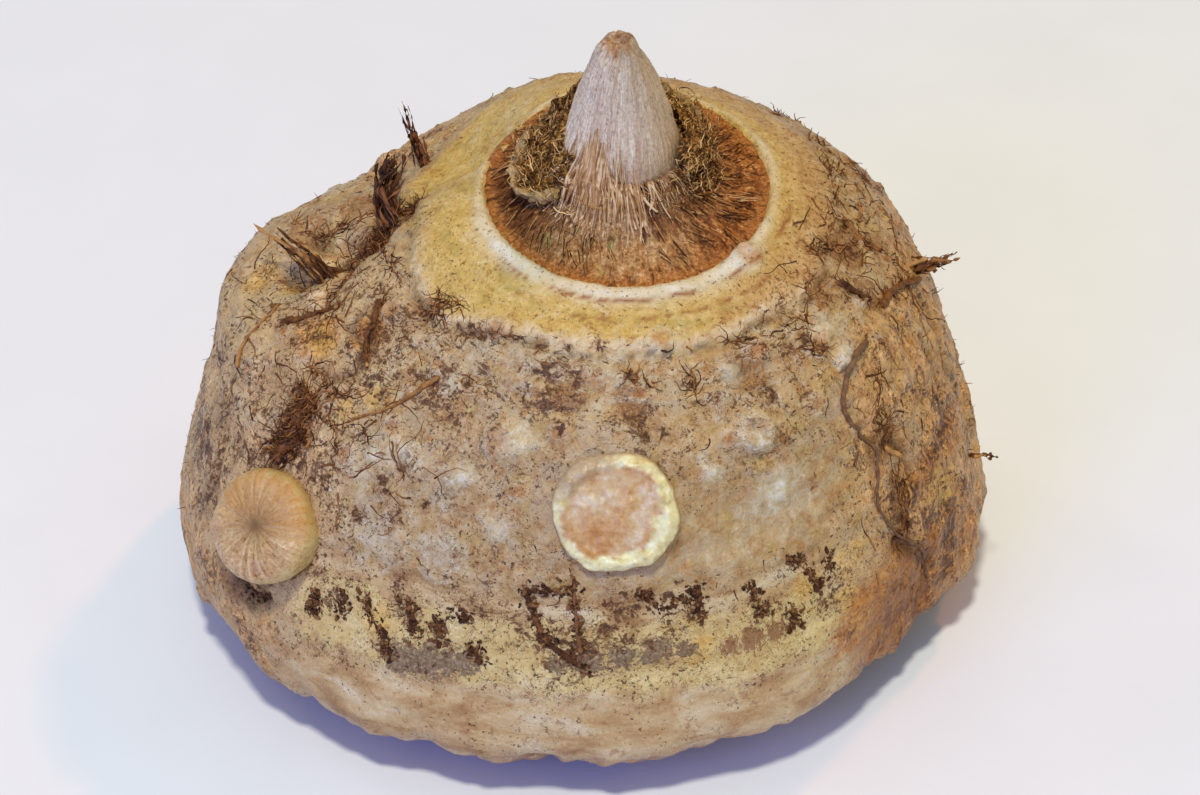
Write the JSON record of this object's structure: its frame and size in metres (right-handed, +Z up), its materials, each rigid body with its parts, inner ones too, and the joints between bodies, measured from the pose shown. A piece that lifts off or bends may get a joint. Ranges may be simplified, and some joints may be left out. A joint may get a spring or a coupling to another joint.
{
  "type": "voodoo lily tuber",
  "caption": "Squat dormant tuber with a pointed crown bud in a round leaf scar, torn sheath remains, an offset bud, a snapped offset scar and dried roots.",
  "frame": {"origin": "under the middle of the tuber's bounding box, on the surface it rests on", "axes": "+Z up, the way the crown bud points, +X to the right side, so that the snapped offset's scar faces -Y, the front"},
  "size_m": [0.0926, 0.082, 0.077],
  "materials": {
    "tuber_skin": "corky matt skin, tan and yellow, with brown specks, grey film and dark soil",
    "bud_skin": "grey-mauve papery scale with fine upright fibres and a soft sheen",
    "old_sheath": "dry brown fibres with a pale torn rim",
    "offset_skin": "orange-tan skin with wrinkles that run out from its middle, slightly glossy",
    "dried_root": "dry wrinkled brown root"
  },
  "bodies": {
    "root": {"tuber_body": "tuber_skin", "crown_bud": "bud_skin", "sheath_remnant_left": "old_sheath", "sheath_remnant_right": "old_sheath", "sheath_remnant_front": "old_sheath", "offset_bud": "offset_skin", "root_back_left_tuft": "dried_root", "root_back_long": "dried_root", "root_back_short": "dried_root", "root_front_decayed_1": "dried_root", "root_front_decayed_2": "dried_root", "root_front_left": "dried_root", "root_left_clump": "dried_root", "root_left_crevice": "dried_root", "root_left_curl": "dried_root", "root_left_spike": "dried_root", "root_left_tuft": "dried_root", "root_left_upper": "dried_root", "root_right_branch": "dried_root", "root_right_edge": "dried_root", "root_right_long": "dried_root", "root_right_rim": "dried_root", "root_right_short": "dried_root", "root_right_stub": "dried_root", "root_right_upper": "dried_root"}
  },
  "joints": []
}
